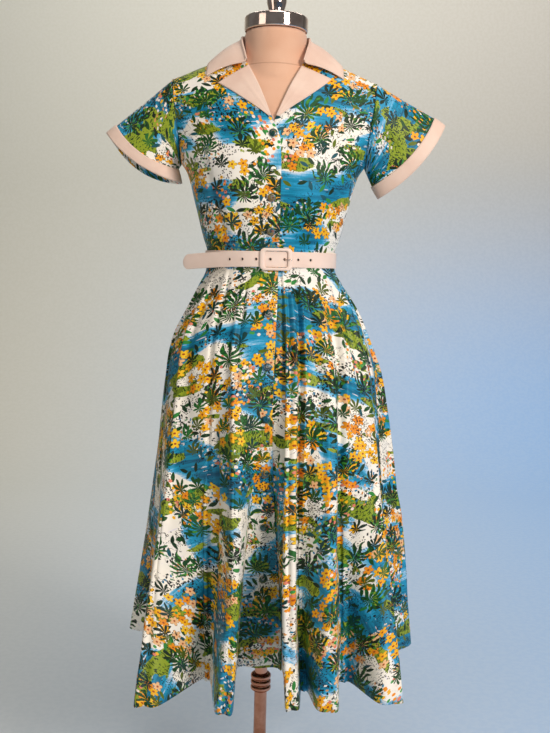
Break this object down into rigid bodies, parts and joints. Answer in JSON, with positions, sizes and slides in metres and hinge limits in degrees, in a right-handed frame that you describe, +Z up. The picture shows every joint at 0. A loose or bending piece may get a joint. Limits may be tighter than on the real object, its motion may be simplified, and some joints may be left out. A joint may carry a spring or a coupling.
{
  "type": "shirtwaist dress on a limbless dress form with a round stand",
  "caption": "Short-sleeved collared dress with a buttoned front, flared skirt and buckled belt, worn by a limbless dress form on a pole with a round base.",
  "frame": {"origin": "middle of the round base's underside, on the floor and on the pole's axis", "axes": "+Z up, the dress's front faces -Y, +X is the wearer's left"},
  "size_m": [0.6314, 0.5436, 1.5678],
  "materials": {
    "printed_cotton": "printed sateen",
    "white_cotton": "plain, pressed",
    "covered_belt": "white cotton over a stiff strap",
    "covered_button": "covered domes",
    "jersey": "stretched jersey",
    "chrome": "polished",
    "stand_metal": "polished"
  },
  "bodies": {
    "root": {"bodice_front_right": "printed_cotton", "bodice_front_left": "printed_cotton", "bodice_back": "printed_cotton", "sleeve_right": "printed_cotton", "sleeve_left": "printed_cotton", "skirt_front_right": "printed_cotton", "skirt_front_left": "printed_cotton", "skirt_back_right": "printed_cotton", "skirt_back_left": "printed_cotton", "collar": "white_cotton", "lapel_right": "white_cotton", "lapel_left": "white_cotton", "cuff_right": "white_cotton", "cuff_left": "white_cotton", "button_1": "covered_button", "button_2": "covered_button", "button_3": "covered_button", "button_4": "covered_button", "button_5": "covered_button", "button_6": "covered_button", "button_7": "covered_button", "button_8": "covered_button", "button_9": "covered_button", "button_10": "covered_button", "belt": "covered_belt", "buckle": "covered_belt", "buckle_prong": "chrome", "form_torso": "jersey", "neck_cap": "chrome", "finial": "chrome", "pole": "stand_metal", "pole_collar": "stand_metal", "base": "stand_metal"}
  },
  "joints": []
}
